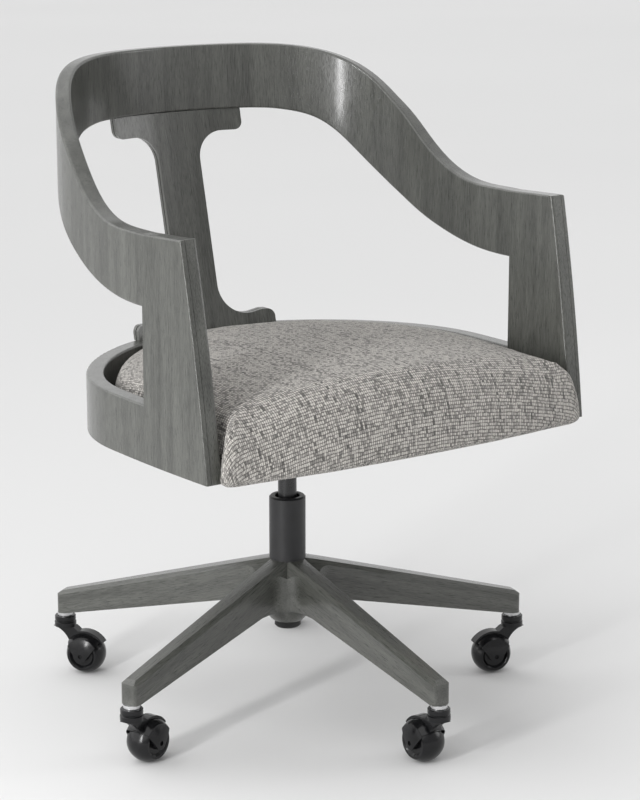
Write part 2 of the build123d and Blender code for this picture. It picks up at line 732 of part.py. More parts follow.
def shell_pieces():
    """The bent-wood shell: crest, arms, posts with their front edging, and the apron."""
    band = crest_band()
    right_side = block((CREST_JOINT_X, -400, 0), (400, 400, 900))
    left_side = mirror(right_side, Plane.YZ)
    pieces = {}
    pieces["crest_rail"] = band - right_side - left_side
    pieces["right_arm"] = band & right_side
    pieces["left_arm"] = band & left_side
    post, edging = post_and_edging()
    pieces["right_post"] = post
    pieces["right_front_edging"] = edging
    pieces["left_post"] = mirror(post, Plane.YZ)
    pieces["left_front_edging"] = mirror(edging, Plane.YZ)
    apron = wall(APRON_PLAN, POST_REAR_Y, APRON_BOTTOM, APRON_TOP)
    rim_low = (-400, POST_REAR_Y + 1, APRON_TOP - 1)
    pieces["seat_apron"] = rounded_along(apron, rim_low, (400, 400, APRON_TOP + 1), EDGE_ROUNDING)
    return pieces


def splat_outline():
    """The splat from the front: a stem that flares to a head and a foot with rounded ends."""
    head_z = CREST_BOTTOM + 20
    foot_z = APRON_TOP
    half = [
        (0, head_z),
        (SPLAT_HEAD_HALF_WIDTH, head_z),
        (SPLAT_HEAD_HALF_WIDTH, SPLAT_SHOULDER),
        (SPLAT_STEM_HALF_WIDTH, SPLAT_SHOULDER),
        (SPLAT_STEM_HALF_WIDTH, SPLAT_ANKLE),
        (SPLAT_FOOT_HALF_WIDTH - 2 * SPLAT_TOE_LENGTH, SPLAT_ANKLE),
        (SPLAT_FOOT_HALF_WIDTH - SPLAT_TOE_LENGTH, SPLAT_TOE_TOP),
        (SPLAT_FOOT_HALF_WIDTH, SPLAT_TOE_TOP),
        (SPLAT_FOOT_HALF_WIDTH, foot_z),
        (0, foot_z),
    ]
    face = make_face(Polyline(*half, close=True))
    rounding = ((2, 11), (3, 36), (4, 40), (5, 16), (6, 16), (7, 10))
    for corner, radius in rounding:
        target = Vector(*half[corner])
        nearest = face.vertices().sort_by(lambda v: (Vector(v.X, v.Y) - target).length)[0]
        face = fillet(nearest, radius)
    return face + mirror(face, Plane.YZ)


def splat_lean():
    """The splat's own upright direction."""
    return Vector(0, SPLAT_HEAD_Y - SPLAT_FOOT_Y, CREST_BOTTOM - APRON_TOP).normalized()


def bowed(radius, thickness):
    """A tall board that leans and bows like the splat, by its front radius and its thickness."""
    lean = splat_lean()
    start = Vector(0, SPLAT_FOOT_Y, APRON_TOP) - lean * 40
    plane = Plane(start, x_dir=(1, 0, 0), z_dir=lean)
    section = Circle(radius + thickness) - Circle(radius)
    section &= Pos(0, SPLAT_BOW_RADIUS) * Rectangle(300, 200)
    return extrude(plane * Pos(0, -SPLAT_BOW_RADIUS) * section, 380)


def back_pieces(crest, apron):
    """The leaning splat, slightly bowed, and the dowels in its two ends."""
    lean = splat_lean()
    foot = Vector(0, SPLAT_FOOT_Y, APRON_TOP)
    inner_radius = SPLAT_BOW_RADIUS
    groove_radius = inner_radius + (SPLAT_THICKNESS - SPLAT_GROOVE) / 2
    outline = splat_outline()
    core = offset(outline, -SPLAT_GROOVE)
    splat = bowed(inner_radius, SPLAT_THICKNESS) & extrude(Plane.XZ * outline, -320)
    splat -= bowed(groove_radius, SPLAT_GROOVE) - extrude(Plane.XZ * core, -320)
    splat -= block((-200, -200, CREST_BOTTOM - SPLAT_JOINT), (200, 320, 900))
    dowels = []
    for x, height in ((60, CREST_BOTTOM), (70, APRON_TOP)):
        up = (height - APRON_TOP) / lean.Z
        bow = inner_radius - sqrt(inner_radius**2 - x**2)
        spot = foot + lean * up + Vector(0, SPLAT_THICKNESS / 2 - bow, 0)
        for side in (1, -1):
            plane = Plane((side * x, spot.Y, spot.Z), x_dir=(1, 0, 0), z_dir=lean)
            dowels.append(plane * Cylinder(DOWEL_RADIUS, DOWEL_LENGTH))
    pieces = {}
    pieces["crest_rail"] = crest - dowels
    pieces["seat_apron"] = apron - dowels
    pieces["splat"] = splat - dowels
    pieces["splat_dowels"] = Compound(dowels)
    return pieces


def cushion_outline():
    """The seat pad from above: the apron's inside, closed by a bowed front with round corners."""
    inset = SHELL_THICKNESS + 2.5
    side = side_centre()
    side_radius = SIDE_RADIUS - inset
    front = Vector(0, CUSHION_FRONT_Y + CUSHION_FRONT_RADIUS)
    corner = touching_centre(
        side, side_radius, front, CUSHION_FRONT_RADIUS, CUSHION_CORNER_RADIUS, -1
    )
    corner_end = heading(side, corner)
    front_end = heading(front, corner)
    edges = u_curve(APRON_PLAN, inset, corner_end)
    right_corner = CenterArc(corner, CUSHION_CORNER_RADIUS, front_end, corner_end - front_end)
    edges += [right_corner, mirror(right_corner, Plane.YZ)]
    edges.append(CenterArc(front, CUSHION_FRONT_RADIUS, -180 - front_end, 2 * front_end + 180))
    return make_face(edges)


def cushion():
    """The padded seat: a crown, drawn-in sides and a front roll that hangs over the board."""
    pad = extrude(Plane.XY.offset(CUSHION_BOTTOM) * cushion_outline(), 120, taper=CUSHION_DRAFT)
    crown_centre = (0, CUSHION_CENTRE_Y, CUSHION_TOP - CUSHION_CROWN_RADIUS)
    pad &= Pos(*crown_centre) * Sphere(CUSHION_CROWN_RADIUS)
    top = pad.faces().sort_by(Axis.Z)[-1]
    pad = fillet(top.edges(), CUSHION_SHOULDER_RADIUS)
    bottom = pad.faces().sort_by(Axis.Z)[0]
    pad = fillet(bottom.edges(), CUSHION_HEM_RADIUS)
    return pad - block((-300, BOARD_FRONT_Y - 1, 300), (300, 300, BOARD_TOP + 0.2))


def seat_pieces(bolts):
    """The seat board on its cleats, the screws that hold it, and the pad."""
    inside = SHELL_THICKNESS + CLEAT_DEPTH
    ledge = wall(APRON_PLAN, POST_REAR_Y, CLEAT_BOTTOM, BOARD_BOTTOM, SHELL_THICKNESS, inside)
    cleats = []
    screws = []
    for side in (1, -1):
        side_box = block((100, -100, 300), (300, -45, 500))
        back_box = block((75, 100, 300), (130, 300, 500))
        for box, spot in ((side_box, (250, -72)), (back_box, (102, 157))):
            cleat = ledge & (box if side > 0 else mirror(box, Plane.YZ))
            fixing = screw(side * spot[0], spot[1], CLEAT_BOTTOM, 2, 22)
            cleats.append(cleat - fixing)
            screws.append(fixing)
    board = slab(APRON_PLAN, BOARD_FRONT_Y, BOARD_BOTTOM, BOARD_TOP, SHELL_THICKNESS + 1)
    pieces = {}
    pieces["seat_cleats"] = Compound(cleats)
    pieces["cleat_screws"] = Compound(screws)
    pieces["seat_board"] = board - screws - bolts
    pieces["seat_cushion"] = cushion()
    return pieces


def write_pieces():
    """Builds the chair and writes one file for each piece."""
    pieces = base_pieces()
    pieces.update(caster_pieces())
    pieces.update(column_pieces())
    pieces.update(tilt_pieces())
    pieces.update(shell_pieces())
    pieces.update(back_pieces(pieces["crest_rail"], pieces["seat_apron"]))
    pieces.update(seat_pieces(pieces["plate_bolts"].solids()))
    os.makedirs("parts", exist_ok=True)
    for name, piece in pieces.items():
        export_step(piece, f"parts/{name}.step")


write_pieces()
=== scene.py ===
import json
from math import atan2, cos, degrees, exp, radians, sin

import bpy
import numpy as np
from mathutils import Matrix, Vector
from mathutils.bvhtree import BVHTree
from mathutils.interpolate import poly_3d_calc


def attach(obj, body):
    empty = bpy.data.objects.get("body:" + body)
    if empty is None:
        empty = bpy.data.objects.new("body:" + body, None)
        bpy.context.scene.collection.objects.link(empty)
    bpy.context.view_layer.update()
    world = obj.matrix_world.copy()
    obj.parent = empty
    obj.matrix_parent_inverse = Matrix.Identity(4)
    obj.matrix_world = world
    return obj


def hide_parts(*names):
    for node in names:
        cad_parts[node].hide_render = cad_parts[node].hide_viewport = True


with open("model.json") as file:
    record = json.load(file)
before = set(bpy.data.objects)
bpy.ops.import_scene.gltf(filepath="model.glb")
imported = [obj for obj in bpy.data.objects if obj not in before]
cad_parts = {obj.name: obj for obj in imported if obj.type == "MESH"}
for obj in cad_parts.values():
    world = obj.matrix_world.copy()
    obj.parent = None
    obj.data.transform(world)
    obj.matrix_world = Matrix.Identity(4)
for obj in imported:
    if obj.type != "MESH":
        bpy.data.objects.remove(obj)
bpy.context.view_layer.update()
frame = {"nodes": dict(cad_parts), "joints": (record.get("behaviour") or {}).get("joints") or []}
cad_nodes = frame["nodes"]


# Base star
# Five tapered oak beams are mitred round a turned hub and glued. The open grain runs along each beam.
# The wood is stained charcoal, paler in its soft bands and darker in its pores, under a satin lacquer.

LEG_COUNT = 5
LEG_SLOPE = radians(14)
STAIN_DARK = (0.031, 0.032, 0.028, 1.0)
STAIN_PALE = (0.114, 0.117, 0.105, 1.0)
GRAIN_DRIFT = 0.010
GRAIN_BAND_SCALE = 70.0
GRAIN_FIBRE_SCALE = 1100.0
GRAIN_PORE_SCALE = 1300.0
GRAIN_PORE_SHADE = 0.75
LACQUER_WEIGHT = 0.5
LACQUER_ROUGHNESS = 0.15


def place(tree, kind, inputs=None, **settings):
    """Adds a shader node. An input is a plain value or another node's output."""
    node = tree.nodes.new(kind)
    for name, value in settings.items():
        setattr(node, name, value)
    for name, value in (inputs or {}).items():
        if isinstance(value, bpy.types.NodeSocket):
            tree.links.new(value, node.inputs[name])
        else:
            node.inputs[name].default_value = value
    return node


def sum_of(tree, operation, first, second=0.0):
    """One step of arithmetic on values."""
    return place(tree, "ShaderNodeMath", {0: first, 1: second}, operation=operation).outputs[0]


def scaled(tree, vector, scale):
    """A place with each axis stretched by its own factor."""
    node = place(tree, "ShaderNodeVectorMath", {0: vector, 1: scale}, operation="MULTIPLY")
    return node.outputs[0]


def cloudy(tree, vector, scale, detail=2.0):
    """Soft random variation between 0 and 1."""
    values = {"Vector": vector, "Scale": scale, "Detail": detail}
    return place(tree, "ShaderNodeTexNoise", values)


def ranged(tree, value, low, high, to_low=0.0, to_high=1.0):
    """A value carried from one range to another, and held at its ends."""
    values = {0: value, 1: low, 2: high, 3: to_low, 4: to_high}
    return place(tree, "ShaderNodeMapRange", values).outputs[0]


def tinted(tree, factor, first, second):
    """A colour between two others."""
    node = place(tree, "ShaderNodeMix", {0: factor, 6: first, 7: second}, data_type="RGBA")
    return node.outputs[2]


def shader_group(name, inputs, outputs):
    """An empty node group, with its entry and exit sockets."""
    group = bpy.data.node_groups.new(name, "ShaderNodeTree")
    for label, kind in inputs:
        group.interface.new_socket(label, in_out="INPUT", socket_type=kind)
    for label, kind in outputs:
        group.interface.new_socket(label, in_out="OUTPUT", socket_type=kind)
    entry = group.nodes.new("NodeGroupInput").outputs
    exits = group.nodes.new("NodeGroupOutput").inputs
    return group, entry, exits


def new_finish(name):
    """A material with nodes, its tree and its shader."""
    material = bpy.data.materials.new(name)
    material.use_nodes = True
    return material, material.node_tree, material.node_tree.nodes["Principled BSDF"]


def dress(material, *names):
    """Gives pieces of the frame their finish."""
    for name in names:
        for slot in cad_nodes[name].material_slots:
            slot.material = material


def oak_grain_group():
    """Open oak grain along Z: growth bands, fibres and dark pores."""
    sockets = [("Place", "NodeSocketVector"), ("Dark", "NodeSocketColor"), ("Pale", "NodeSocketColor")]
    results = [
        ("Colour", "NodeSocketColor"), ("Roughness", "NodeSocketFloat"), ("Height", "NodeSocketFloat"),
    ]
    group, entry, exits = shader_group("oak_grain", sockets, results)
    drift = cloudy(group, scaled(group, entry["Place"], (1.0, 1.0, 0.3)), 16.0).outputs["Color"]
    shift = scaled(group, drift, (GRAIN_DRIFT, GRAIN_DRIFT, 0.0))
    moved = place(group, "ShaderNodeVectorMath", {0: entry["Place"], 1: shift}, operation="ADD").outputs[0]
    band = cloudy(group, scaled(group, moved, (1.0, 1.0, 0.06)), GRAIN_BAND_SCALE, 2.0).outputs[0]
    fibre = cloudy(group, scaled(group, moved, (1.0, 1.0, 0.045)), GRAIN_FIBRE_SCALE, 4.0).outputs[0]
    pore = cloudy(group, scaled(group, moved, (1.0, 1.0, 0.09)), GRAIN_PORE_SCALE, 1.0).outputs[0]
    pores = ranged(group, pore, 0.56, 0.68)
    tone = sum_of(group, "ADD", sum_of(group, "MULTIPLY", band, 0.4), sum_of(group, "MULTIPLY", fibre, 0.6))
    body = tinted(group, ranged(group, tone, 0.34, 0.66), entry["Dark"], entry["Pale"])
    shade = sum_of(group, "MULTIPLY", pores, GRAIN_PORE_SHADE)
    group.links.new(tinted(group, shade, body, entry["Dark"]), exits["Colour"])
    group.links.new(ranged(group, fibre, 0.3, 0.7, 0.26, 0.36), exits["Roughness"])
    group.links.new(sum_of(group, "SUBTRACT", fibre, pores), exits["Height"])
    return group


def wood_finish(name, place_of, dark, pale, bump):
    """A wooden finish on the grain group; place_of gives the place with the grain along Z."""
    material, tree, shader = new_finish(name)
    where = place(tree, "ShaderNodeTexCoord").outputs["Object"]
    grain = place(tree, "ShaderNodeGroup", node_tree=oak_grain)
    tree.links.new(place_of(tree, where), grain.inputs["Place"])
    grain.inputs["Dark"].default_value = dark
    grain.inputs["Pale"].default_value = pale
    height = grain.outputs["Height"]
    relief = place(tree, "ShaderNodeBump", {"Strength": bump, "Distance": 0.0004, "Height": height})
    tree.links.new(grain.outputs["Colour"], shader.inputs["Base Color"])
    tree.links.new(grain.outputs["Roughness"], shader.inputs["Roughness"])
    tree.links.new(relief.outputs[0], shader.inputs["Normal"])
    shader.inputs["Coat Weight"].default_value = LACQUER_WEIGHT
    shader.inputs["Coat Roughness"].default_value = LACQUER_ROUGHNESS
    return material


oak_grain = oak_grain_group()
first_stem = next(j["pos_m"] for j in frame["joints"] if j["name"] == "caster_swivel_1")


def along_beam(tree, where):
    """Turns each fifth of the star so that its beam's grain lies along Z."""
    first_angle = atan2(first_stem[1], first_stem[0])
    sector = radians(360 / LEG_COUNT)
    axes = place(tree, "ShaderNodeSeparateXYZ", {0: where}).outputs
    angle = sum_of(tree, "ARCTAN2", axes[1], axes[0])
    count = sum_of(tree, "DIVIDE", sum_of(tree, "SUBTRACT", angle, first_angle), sector)
    nearest = sum_of(tree, "MULTIPLY", sum_of(tree, "ROUND", count), -sector)
    back = sum_of(tree, "SUBTRACT", nearest, first_angle)
    turned = place(tree, "ShaderNodeVectorRotate", {"Vector": where, "Angle": back}, rotation_type="Z_AXIS")
    tipped = {"Vector": turned.outputs[0], "Angle": -LEG_SLOPE}
    level = place(tree, "ShaderNodeVectorRotate", tipped, rotation_type="Y_AXIS")
    beam = place(tree, "ShaderNodeSeparateXYZ", {0: level.outputs[0]}).outputs
    return place(tree, "ShaderNodeCombineXYZ", {0: beam[2], 1: beam[1], 2: beam[0]}).outputs[0]


beam_oak = wood_finish("stained_oak_beams", along_beam, STAIN_DARK, STAIN_PALE, 0.35)
dress(beam_oak, "base_hub", *[f"leg_{i + 1}" for i in range(LEG_COUNT)])


# Casters
# A moulded black hood runs over each barrel wheel and takes the swivel stem in its collar.
# Hood and wheel are polished plastic, the stem's shoulder is bright turned steel, the axle blackened.

TURNED_RING_SCALE = 3000.0


def moulded_finish(name, colour, low, high):
    """Moulded plastic: a clean gloss broken by faint handling marks."""
    material, tree, shader = new_finish(name)
    where = place(tree, "ShaderNodeTexCoord").outputs["Object"]
    marks = cloudy(tree, where, 180.0, 4.0).outputs[0]
    grain = cloudy(tree, where, 2400.0, 1.0).outputs[0]
    shade = tuple(0.55 * part for part in colour[:3]) + (1.0,)
    tree.links.new(tinted(tree, ranged(tree, marks, 0.3, 0.7), shade, colour), shader.inputs["Base Color"])
    tree.links.new(ranged(tree, marks, 0.3, 0.7, low, high), shader.inputs["Roughness"])
    relief = place(tree, "ShaderNodeBump", {"Strength": 0.05, "Distance": 0.0003, "Height": grain})
    tree.links.new(relief.outputs[0], shader.inputs["Normal"])
    shader.inputs["Specular IOR Level"].default_value = 0.35
    return material


def steel_finish(name, colour, low, high):
    """Turned steel, with fine tool rings along its axis."""
    material, tree, shader = new_finish(name)
    where = place(tree, "ShaderNodeTexCoord").outputs["Object"]
    rings = cloudy(tree, scaled(tree, where, (0.04, 0.04, 1.0)), TURNED_RING_SCALE, 3.0).outputs[0]
    stain = cloudy(tree, where, 60.0, 3.0).outputs[0]
    dull = tuple(0.72 * part for part in colour[:3]) + (1.0,)
    tree.links.new(tinted(tree, ranged(tree, stain, 0.35, 0.7), colour, dull), shader.inputs["Base Color"])
    tree.links.new(ranged(tree, rings, 0.3, 0.7, low, high), shader.inputs["Roughness"])
    relief = place(tree, "ShaderNodeBump", {"Strength": 0.08, "Distance": 0.0002, "Height": rings})
    tree.links.new(relief.outputs[0], shader.inputs["Normal"])
    shader.inputs["Metallic"].default_value = 1.0
    return material


caster_black = moulded_finish("polished_caster_plastic", (0.008, 0.008, 0.009, 1.0), 0.14, 0.26)
bright_steel = steel_finish("bright_turned_steel", (0.72, 0.72, 0.73, 1.0), 0.18, 0.34)
black_steel = steel_finish("blackened_steel", (0.030, 0.030, 0.031, 1.0), 0.30, 0.45)
for i in range(LEG_COUNT):
    dress(caster_black, f"caster_hood_{i + 1}", f"caster_wheel_{i + 1}")
    dress(black_steel, f"caster_axle_{i + 1}")
dress(bright_steel, "caster_stems")


# Gas column
# A black enamelled tube wedges into the hub. Inside, a guide bushing leads the gas cylinder,
# which stands on its rod, a thrust bearing and a clip; a plastic cap closes the hub from below.

def enamel_finish(name, colour, low, high):
    """Baked black enamel with a fine, even texture."""
    material, tree, shader = new_finish(name)
    where = place(tree, "ShaderNodeTexCoord").outputs["Object"]
    peel = cloudy(tree, where, 1300.0, 2.0).outputs[0]
    wear = cloudy(tree, where, 40.0, 4.0).outputs[0]
    rubbed = tuple(1.7 * part for part in colour[:3]) + (1.0,)
    tree.links.new(tinted(tree, ranged(tree, wear, 0.4, 0.75), colour, rubbed), shader.inputs["Base Color"])
    tree.links.new(ranged(tree, peel, 0.3, 0.7, low, high), shader.inputs["Roughness"])
    relief = place(tree, "ShaderNodeBump", {"Strength": 0.12, "Distance": 0.0003, "Height": peel})
    tree.links.new(relief.outputs[0], shader.inputs["Normal"])
    return material


black_enamel = enamel_finish("black_enamel", (0.010, 0.010, 0.011, 1.0), 0.36, 0.5)
cylinder_black = enamel_finish("black_cylinder", (0.016, 0.016, 0.017, 1.0), 0.24, 0.36)
dark_plastic = moulded_finish("dark_plastic", (0.024, 0.024, 0.024, 1.0), 0.45, 0.6)
dress(black_enamel, "outer_tube")
dress(cylinder_black, "gas_cylinder")
dress(dark_plastic, "guide_bushing", "column_cap")
dress(bright_steel, "piston_rod", "thrust_bearing", "rod_clip", "release_pin")


# Tilt mechanism
# A pressed steel tray grips the column and carries the seat plate on a cross pin, sprung by two
# rubber sleeves. The height lever runs out to the sitter's right and ends in a plastic grip.

def rubber_finish(name, colour):
    """Matt rubber with a fine bloom."""
    material, tree, shader = new_finish(name)
    where = place(tree, "ShaderNodeTexCoord").outputs["Object"]
    bloom = cloudy(tree, where, 240.0, 4.0).outputs[0]
    pale = tuple(2.2 * part for part in colour[:3]) + (1.0,)
    tree.links.new(tinted(tree, ranged(tree, bloom, 0.45, 0.8), colour, pale), shader.inputs["Base Color"])
    tree.links.new(ranged(tree, bloom, 0.3, 0.7, 0.7, 0.85), shader.inputs["Roughness"])
    return material


dress(black_enamel, "tilt_housing", "seat_plate")
dress(bright_steel, "height_lever", "tilt_pin", "plate_bolts")
dress(dark_plastic, "lever_grip")
dress(rubber_finish("spring_rubber", (0.020, 0.020, 0.020, 1.0)), "torsion_sleeves")


# Seat board
# The pad is stapled to a dark stained plywood board, which sits inside the apron on four beech cleats.
# Screws from below hold the board; dowels of the same bare beech join the splat's ends.

def as_it_stands(tree, where):
    """Wood whose grain already runs upright."""
    return where


def along_width(tree, where):
    """Wood whose grain runs from side to side."""
    axes = place(tree, "ShaderNodeSeparateXYZ", {0: where}).outputs
    return place(tree, "ShaderNodeCombineXYZ", {0: axes[1], 1: axes[2], 2: axes[0]}).outputs[0]


BARE_DARK = (0.36, 0.25, 0.15, 1.0)
BARE_PALE = (0.56, 0.43, 0.28, 1.0)
dress(wood_finish("bare_beech", along_width, BARE_DARK, BARE_PALE, 0.2), "seat_cleats")
dress(wood_finish("stained_plywood", along_width, STAIN_DARK, STAIN_PALE, 0.2), "seat_board")
dress(wood_finish("bare_dowel", as_it_stands, BARE_DARK, BARE_PALE, 0.2), "splat_dowels")
dress(bright_steel, "cleat_screws")


# Bent shell
# Crest, arms, posts and apron are bent from thin layers of oak veneer glued in a mould, with the
# face grain upright. Narrow strips of the same wood edge the posts in front.

shell_oak = wood_finish("stained_oak_shell", as_it_stands, STAIN_DARK, STAIN_PALE, 0.3)
dress(shell_oak, "crest_rail", "left_arm", "right_arm", "left_post", "right_post", "seat_apron")
dress(shell_oak, "left_front_edging", "right_front_edging")


# Splat
# The back's upright is cut from a curved board of the same oak, flared at head and foot.
# Dowels join it to the crest above and to the apron below.

SPLAT_LEAN = 0.25


def along_splat(tree, where):
    """Sets the leaning board upright, so that its grain runs along it."""
    axes = place(tree, "ShaderNodeSeparateXYZ", {0: where}).outputs
    depth = sum_of(tree, "SUBTRACT", axes[1], sum_of(tree, "MULTIPLY", axes[2], SPLAT_LEAN))
    return place(tree, "ShaderNodeCombineXYZ", {0: axes[0], 1: depth, 2: axes[2]}).outputs[0]


dress(wood_finish("stained_oak_splat", along_splat, STAIN_DARK, STAIN_PALE, 0.3), "splat")


# Seat pad
# A foam pad under a woven cover, drawn down over the board's front in a soft roll and stapled below.
# The cover is a chunky basket weave of pale and charcoal yarns, and its rows run across the seat.

PAD_FRONT_ARC = ((0.0, 1.514), 1.800)
PAD_FRONT_END = (0.246, -0.269)
PAD_LAP = (
    (0.2565, -0.2702), (0.2640, -0.2662), (0.2695, -0.2612), (0.2728, -0.2560),
    (0.2735, -0.2520), (0.2715, -0.2492), (0.2640, -0.2487),
)
PAD_SIDE_START = (0.2574, -0.2475)
PAD_SIDE_ARC = ((-2.114, -0.110), 2.3755)
PAD_SHOULDER_ARC = ((0.0630, -0.0452), 0.1975)
PAD_BACK_ARC = ((0.0, -0.082), 0.2705)
PAD_POINTS = 300
PAD_CENTRE = (0.0, -0.080)
PAD_TOP_SHARES = (0.03, 0.15, 0.3, 0.45, 0.6, 0.72, 0.84, 0.93)
PAD_CROWN = 0.486
PAD_CROWN_RADIUS = 1.35
PAD_FRONT_CROWN_RADIUS = 5.0
PAD_SHOULDER_INSET = 0.045
PAD_SHOULDER_EASE = 5
PAD_FRONT_RISE = (
    (0.045, 1.0), (0.028, 0.89), (0.0165, 0.765), (0.010, 0.61), (0.0048, 0.41), (0.0012, 0.20),
)
PAD_SIDE_RISE = (
    (0.045, 1.0), (0.032, 0.975), (0.022, 0.93), (0.014, 0.83), (0.0085, 0.66), (0.003, 0.30),
)
PAD_TURN_START = -0.228
PAD_TURN_LENGTH = 0.028
PAD_TURN_BACK = 0.4
PAD_HEM = ((0.0, 0.387), (0.0015, 0.3835), (0.005, 0.381), (0.011, 0.380))
PAD_UNDERSIDE = (0.020, 0.028, 0.034, 0.040, 0.046, 0.052, 0.060, 0.075, 0.100)
PAD_BOARD_EDGE_Y = -0.2375
PAD_BOARD_TOP = 0.4128
PAD_HELD_OVER_BOARD = 0.003
PAD_HELD_BELOW = 0.383
PAD_STUFFING = 0.003
PAD_PRESSURE = 4.0
PAD_STEPS = 20
PAD_SWELL = 0.005
PAD_GIVE = 0.35
PAD_VOXEL = 0.005
WEAVE_TURN = 6


def arc_run(circle, start, end, count=80):
    """Plan points along an arc, between two angles in degrees."""
    (x, y), radius = circle
    turn = np.radians(np.linspace(start, end, count))
    return np.stack([x + radius * np.cos(turn), y + radius * np.sin(turn)], axis=1)


def bearing(circle, point):
    """Direction from a circle's centre to a point, in degrees."""
    return degrees(atan2(point[1] - circle[0][1], point[0] - circle[0][0]))


def softened(values, reach):
    """Values round a closed line, averaged with their neighbours."""
    shifts = range(-3 * reach, 3 * reach + 1)
    weights = [exp(-0.5 * (shift / reach) ** 2) for shift in shifts]
    return sum(w * np.roll(values, k, axis=0) for k, w in zip(shifts, weights)) / sum(weights)


def pad_outline():
    """Evenly spaced points round the pad from above, anticlockwise from the middle of its front."""
    front = arc_run(PAD_FRONT_ARC, -90, bearing(PAD_FRONT_ARC, PAD_FRONT_END))
    side_end = bearing(PAD_SIDE_ARC, PAD_SHOULDER_ARC[0])
    back_start = bearing(PAD_BACK_ARC, PAD_SHOULDER_ARC[0])
    side = arc_run(PAD_SIDE_ARC, bearing(PAD_SIDE_ARC, PAD_SIDE_START), side_end)
    shoulder = arc_run(PAD_SHOULDER_ARC, side_end, back_start)
    back = arc_run(PAD_BACK_ARC, back_start, 90)
    right = np.vstack([front, PAD_LAP, side, shoulder[1:], back[1:]])
    left = right[-2:0:-1] * (-1, 1)
    line = np.vstack([right, left, right[:1]])
    along = np.concatenate([[0.0], np.cumsum(np.linalg.norm(np.diff(line, axis=0), axis=1))])
    marks = np.linspace(0.0, along[-1], PAD_POINTS, endpoint=False)
    even = np.stack([np.interp(marks, along, line[:, axis]) for axis in (0, 1)], axis=1)
    return softened(even, 1)


def outward_from(points):
    """Outward direction at each point of the outline."""
    along = np.roll(points, -1, axis=0) - np.roll(points, 1, axis=0)
    across = np.stack([along[:, 1], -along[:, 0]], axis=1)
    return across / np.linalg.norm(across, axis=1)[:, None]


def crown_height(points):
    """Height of the pad's crown over plan points, flatter towards the front."""
    across, along = (points - PAD_CENTRE).T
    radius = np.where(along < 0, PAD_FRONT_CROWN_RADIUS, PAD_CROWN_RADIUS)
    return PAD_CROWN - across ** 2 / (2 * PAD_CROWN_RADIUS) - along ** 2 / (2 * radius)


def pad_rings(outline):
    """The pad's rings from its middle over the shoulder and under its hem, and their places in the cloth."""
    outward = outward_from(outline)
    drawn_in = PAD_SHOULDER_INSET * softened(outward, PAD_SHOULDER_EASE)
    shoulder = softened(outline, PAD_SHOULDER_EASE) - drawn_in
    inward = (shoulder - outline) / PAD_SHOULDER_INSET
    shoulder_z = crown_height(shoulder)
    rings = []
    for share in PAD_TOP_SHARES:
        plan = PAD_CENTRE + (shoulder - PAD_CENTRE) * share
        rings.append(np.column_stack([plan, crown_height(plan)]))
    top_count = len(rings)
    foot = PAD_HEM[0][1]
    forward = np.clip((PAD_TURN_START - outline[:, 1]) / PAD_TURN_LENGTH, 0.0, 1.0)
    front = forward * np.clip(1.0 - softened(outward[:, 1], 2) / PAD_TURN_BACK, 0.0, 1.0)
    for at_front, at_side in zip(np.array(PAD_FRONT_RISE), np.array(PAD_SIDE_RISE)):
        inset, share = np.outer(at_front, front) + np.outer(at_side, 1.0 - front)
        plan = outline + inward * inset[:, None]
        rings.append(np.column_stack([plan, foot + (shoulder_z - foot) * share]))
    for inset, z in (*PAD_HEM, *[(inset, PAD_HEM[-1][1]) for inset in PAD_UNDERSIDE]):
        plan = outline + inward * inset
        rings.append(np.column_stack([plan, np.full(PAD_POINTS, z)]))
    flat = [ring[:, :2] for ring in rings[:top_count]]
    turned = softened(outward, WEAVE_TURN)
    turned /= np.linalg.norm(turned, axis=1)[:, None]
    reach = np.zeros(PAD_POINTS)
    for before, ring in zip(rings[top_count - 1:], rings[top_count:]):
        if len(flat) > top_count:
            reach += np.linalg.norm(ring - before, axis=1)
        flat.append(shoulder + turned * reach[:, None])
    solid = np.array(rings)
    low = (solid[:, :, 1] > PAD_BOARD_EDGE_Y) & (solid[:, :, 2] < PAD_BOARD_TOP)
    solid[low, 2] = PAD_BOARD_TOP
    return solid, np.array(flat)


def pad_faces(ring_count):
    """Quads between neighbouring rings, and a face to close each end."""
    faces = [list(range(PAD_POINTS))]
    for ring in range(ring_count - 1):
        for i in range(PAD_POINTS):
            a = ring * PAD_POINTS + i
            b = ring * PAD_POINTS + (i + 1) % PAD_POINTS
            faces.append([a, a + PAD_POINTS, b + PAD_POINTS, b])
    last = (ring_count - 1) * PAD_POINTS
    faces.append([last + i for i in reversed(range(PAD_POINTS))])
    return faces


def shaped(thing, modifier_kind, **settings):
    """Adds a modifier and bakes its result into the mesh."""
    modifier = thing.modifiers.new(modifier_kind.lower(), modifier_kind)
    for name, value in settings.items():
        setattr(modifier, name, value)
    result = bpy.data.meshes.new_from_object(thing.evaluated_get(bpy.context.evaluated_depsgraph_get()))
    thing.modifiers.clear()
    thing.data = result


def places_of(mesh):
    """The mesh's points as rows."""
    rows = np.zeros(len(mesh.vertices) * 3)
    mesh.vertices.foreach_get("co", rows)
    return rows.reshape(-1, 3)


def set_places(mesh, rows):
    """Moves the mesh's points."""
    mesh.vertices.foreach_set("co", rows.ravel())
    mesh.update()


